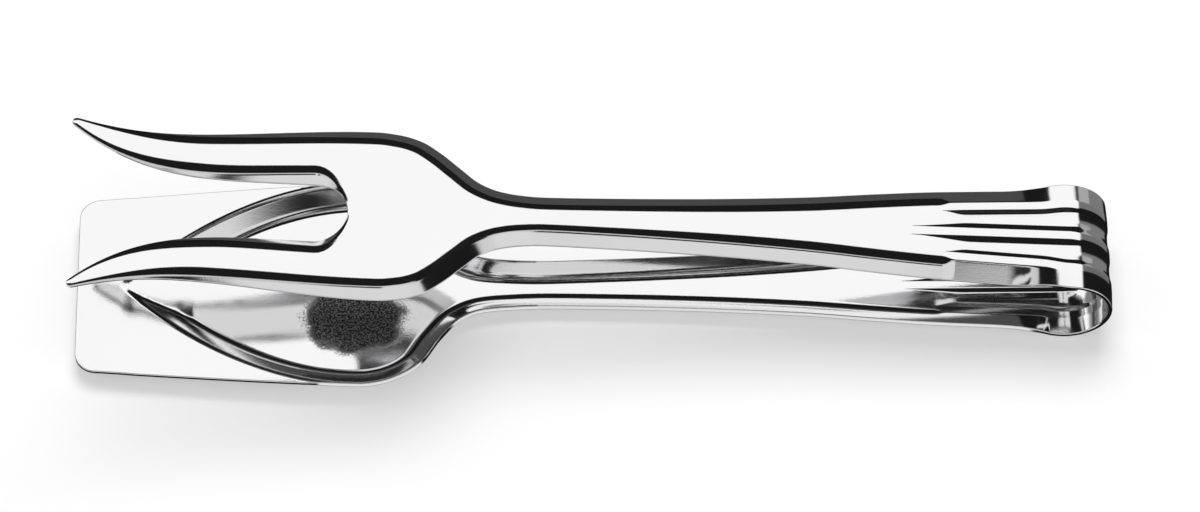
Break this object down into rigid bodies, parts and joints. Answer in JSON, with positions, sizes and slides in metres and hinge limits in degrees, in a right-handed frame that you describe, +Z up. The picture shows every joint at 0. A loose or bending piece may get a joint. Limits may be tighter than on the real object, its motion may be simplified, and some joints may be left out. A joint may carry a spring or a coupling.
{
  "type": "serving tongs",
  "caption": "Serving tongs of polished steel: a flat spatula below and a tined fork above, on handles joined by a sprung bow that closes when squeezed.",
  "frame": {"origin": "on the surface that the tongs lie on, under the middle of their length and width", "axes": "+X along the tongs from the heads to the bow, +Y across them, +Z up, out of the spatula and through the fork above it"},
  "size_m": [0.24, 0.056, 0.04],
  "materials": {
    "polished_steel": "pressed stainless steel sheet, polished nearly to a mirror"
  },
  "bodies": {
    "spatula_arm": {"spatula_arm": "polished_steel"},
    "bow_segment_1": {"bow_segment_1": "polished_steel"},
    "bow_segment_2": {"bow_segment_2": "polished_steel"},
    "bow_segment_3": {"bow_segment_3": "polished_steel"},
    "bow_segment_4": {"bow_segment_4": "polished_steel"},
    "bow_segment_5": {"bow_segment_5": "polished_steel"},
    "bow_segment_6": {"bow_segment_6": "polished_steel"},
    "fork_arm": {"fork_arm": "polished_steel"}
  },
  "joints": [
    {"name": "squeeze", "type": "hinge", "parent": "spatula_arm", "child": "fork_arm", "pos_m": [0.11593, 0, 0.01053], "axis": [0, -1, 0], "range_deg": [0, 8.26], "stiffness_Nm_per_rad": 14.3, "springref_deg": -0.23},
    {"name": "bow_flex_1", "type": "hinge", "parent": "spatula_arm", "child": "bow_segment_1", "pos_m": [0.11134, 0, 0.00073], "axis": [0, -1, 0], "range_deg": [0, 1.18]},
    {"name": "bow_flex_2", "type": "hinge", "parent": "spatula_arm", "child": "bow_segment_2", "pos_m": [0.11339, 0, 0.00166], "axis": [0, -1, 0], "range_deg": [0, 2.36]},
    {"name": "bow_flex_3", "type": "hinge", "parent": "spatula_arm", "child": "bow_segment_3", "pos_m": [0.11504, 0, 0.00312], "axis": [0, -1, 0], "range_deg": [0, 3.54]},
    {"name": "bow_flex_4", "type": "hinge", "parent": "spatula_arm", "child": "bow_segment_4", "pos_m": [0.11615, 0, 0.00494], "axis": [0, -1, 0], "range_deg": [0, 4.72]},
    {"name": "bow_flex_5", "type": "hinge", "parent": "spatula_arm", "child": "bow_segment_5", "pos_m": [0.11666, 0, 0.00691], "axis": [0, -1, 0], "range_deg": [0, 5.9]},
    {"name": "bow_flex_6", "type": "hinge", "parent": "spatula_arm", "child": "bow_segment_6", "pos_m": [0.11656, 0, 0.00884], "axis": [0, -1, 0], "range_deg": [0, 7.08]}
  ],
  "couplings": [
    {"joint": "bow_flex_1", "follows": "squeeze", "ratio": 0.14286},
    {"joint": "bow_flex_2", "follows": "squeeze", "ratio": 0.28571},
    {"joint": "bow_flex_3", "follows": "squeeze", "ratio": 0.42857},
    {"joint": "bow_flex_4", "follows": "squeeze", "ratio": 0.57143},
    {"joint": "bow_flex_5", "follows": "squeeze", "ratio": 0.71428},
    {"joint": "bow_flex_6", "follows": "squeeze", "ratio": 0.85714}
  ]
}
